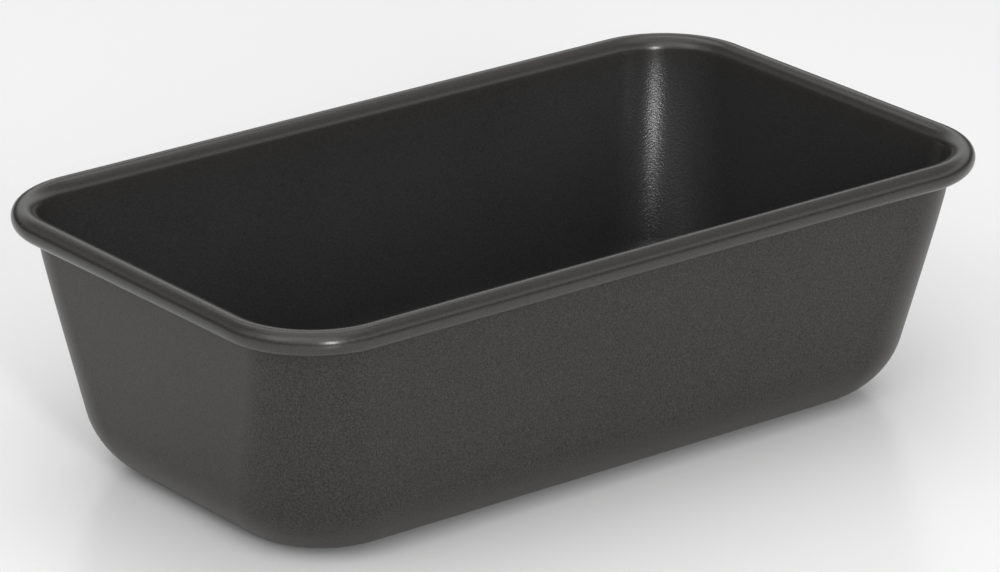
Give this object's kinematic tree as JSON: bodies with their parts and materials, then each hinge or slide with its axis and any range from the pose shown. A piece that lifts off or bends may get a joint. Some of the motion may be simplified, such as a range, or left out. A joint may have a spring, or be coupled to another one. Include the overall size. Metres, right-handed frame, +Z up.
{
  "type": "rectangular cake pan",
  "caption": "Deep rectangular loaf-type cake pan, open on top, with drafted walls, rounded corners, a wide curve to a flat base and a rolled rim stiffened by a wire.",
  "frame": {"origin": "middle of the underside, on the surface that the pan stands on", "axes": "+X along the length, +Y across the width, +Z up out of the open top"},
  "size_m": [0.2438, 0.1438, 0.073],
  "materials": {
    "anodised_sheet": "hard-anodised sheet, dark warm grey, satin with a fine grain",
    "nonstick_coat": "near-black non-stick coat, satin, with a fine sparkle",
    "rim_wire_steel": "bare drawn steel wire"
  },
  "bodies": {
    "root": {"pan_shell": "anodised_sheet", "nonstick_lining": "nonstick_coat", "rim_wire": "rim_wire_steel"}
  },
  "joints": []
}
